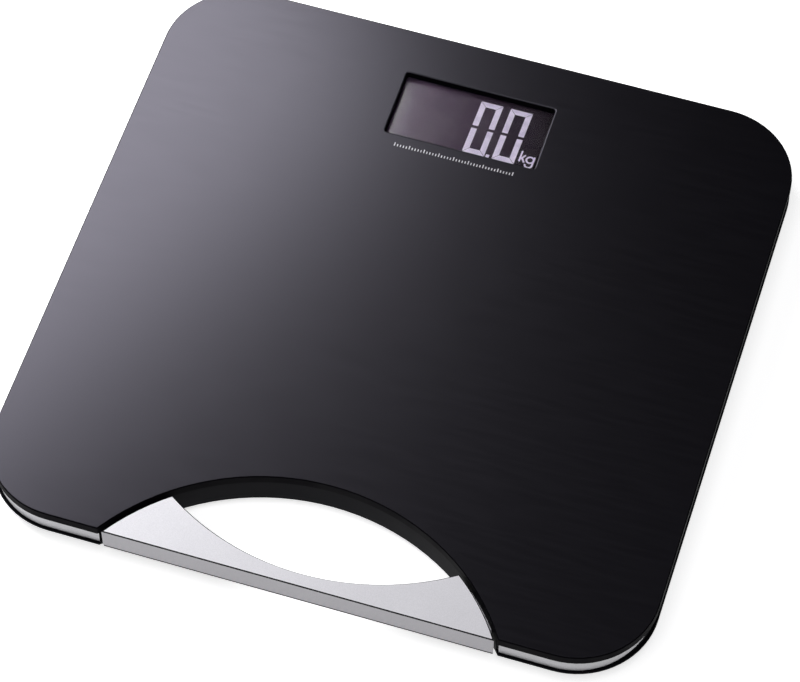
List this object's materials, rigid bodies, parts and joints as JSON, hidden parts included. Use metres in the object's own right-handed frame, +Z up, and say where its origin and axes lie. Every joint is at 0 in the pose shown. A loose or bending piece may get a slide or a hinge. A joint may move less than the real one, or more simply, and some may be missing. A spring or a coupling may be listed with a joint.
{
  "type": "digital bathroom scale",
  "caption": "Flat square black bathroom scale with rounded corners, a recessed digital display and a silver hand-hold across an arched cut-out.",
  "frame": {"origin": "middle of the footprint, on the floor that the feet stand on", "axes": "+Z up; +Y from the hand-hold towards the display; +X to the right of somebody who reads the display"},
  "size_m": [0.32, 0.316, 0.0235],
  "materials": {
    "satin_black": "satin",
    "base_black": "fine texture",
    "silver": "silver, semi-gloss",
    "steel_plate": "zinc plated",
    "clear_lens": "smoked, clear",
    "lcd_glass": "polished",
    "light_guide": "clear, frosted",
    "white_film": "matte",
    "led_white": "gloss",
    "zebra_rubber": "matte",
    "grey_plastic": "matte",
    "board": "solder mask",
    "epoxy": "gloss",
    "tin": "satin",
    "ceramic": "matte",
    "button_grey": "matte",
    "foot_plastic": "matte",
    "foot_rubber": "matte",
    "cell_steel": "nickel plated",
    "potting": "satin",
    "nylon": "natural",
    "wire_grey": "satin",
    "wire_black": "satin",
    "wire_red": "satin",
    "battery_wrap": "gloss sleeve",
    "screw_steel": "black zinc"
  },
  "bodies": {
    "casing": {"platform": "satin_black", "stiffener_plate": "steel_plate", "base_tray": "base_black", "trim_band": "silver", "handle_body": "silver", "handle_bottom_cover": "base_black", "display_lens": "clear_lens", "lcd_holder": "grey_plastic", "lcd_front_glass": "lcd_glass", "lcd_rear_glass": "lcd_glass", "backlight_panel": "light_guide", "backlight_reflector": "white_film", "backlight_led": "led_white", "contact_strip_front": "zebra_rubber", "contact_strip_rear": "zebra_rubber", "circuit_board": "board", "chip_cover": "epoxy", "crystal": "tin", "capacitors": "ceramic", "tact_switch": "tin", "battery_springs": "tin", "battery_contacts": "tin", "battery_tabs": "tin", "battery_wire_black": "wire_black", "battery_wire_red": "wire_red", "base_screws": "screw_steel", "carrier_screws": "screw_steel", "holder_screws": "screw_steel", "board_screws": "screw_steel", "handle_screws": "screw_steel", "battery_1": "battery_wrap", "battery_2": "battery_wrap", "battery_3": "battery_wrap", "load_cell_front_left": "cell_steel", "strain_gauge_front_left": "potting", "cell_carrier_front_left": "nylon", "sensor_wire_front_left": "wire_grey", "load_cell_front_right": "cell_steel", "strain_gauge_front_right": "potting", "cell_carrier_front_right": "nylon", "sensor_wire_front_right": "wire_grey", "load_cell_rear_left": "cell_steel", "strain_gauge_rear_left": "potting", "cell_carrier_rear_left": "nylon", "sensor_wire_rear_left": "wire_grey", "load_cell_rear_right": "cell_steel", "strain_gauge_rear_right": "potting", "cell_carrier_rear_right": "nylon", "sensor_wire_rear_right": "wire_grey"},
    "foot_front_left": {"foot_front_left": "foot_plastic", "foot_pad_front_left": "foot_rubber"},
    "foot_front_right": {"foot_front_right": "foot_plastic", "foot_pad_front_right": "foot_rubber"},
    "foot_rear_left": {"foot_rear_left": "foot_plastic", "foot_pad_rear_left": "foot_rubber"},
    "foot_rear_right": {"foot_rear_right": "foot_plastic", "foot_pad_rear_right": "foot_rubber"},
    "battery_door": {"battery_door": "base_black"},
    "unit_button": {"unit_button": "button_grey", "switch_plunger": "epoxy"}
  },
  "joints": [
    {"name": "foot_front_left_press", "type": "slide", "parent": "casing", "child": "foot_front_left", "axis": [0, 0, 1], "range_m": [0, 0.0005], "stiffness_N_per_m": 200000, "deforming": ["load_cell_front_left"]},
    {"name": "foot_front_right_press", "type": "slide", "parent": "casing", "child": "foot_front_right", "axis": [0, 0, 1], "range_m": [0, 0.0005], "stiffness_N_per_m": 200000, "deforming": ["load_cell_front_right"]},
    {"name": "foot_rear_left_press", "type": "slide", "parent": "casing", "child": "foot_rear_left", "axis": [0, 0, 1], "range_m": [0, 0.0005], "stiffness_N_per_m": 200000, "deforming": ["load_cell_rear_left"]},
    {"name": "foot_rear_right_press", "type": "slide", "parent": "casing", "child": "foot_rear_right", "axis": [0, 0, 1], "range_m": [0, 0.0005], "stiffness_N_per_m": 200000, "deforming": ["load_cell_rear_right"]},
    {"name": "battery_door_hinge", "type": "hinge", "parent": "casing", "child": "battery_door", "pos_m": [0, 0.0368, 0.0058], "axis": [1, 0, 0], "range_deg": [0, 95]},
    {"name": "unit_button_press", "type": "slide", "parent": "casing", "child": "unit_button", "axis": [0, 0, 1], "range_m": [0, 0.0004], "stiffness_N_per_m": 3000}
  ]
}
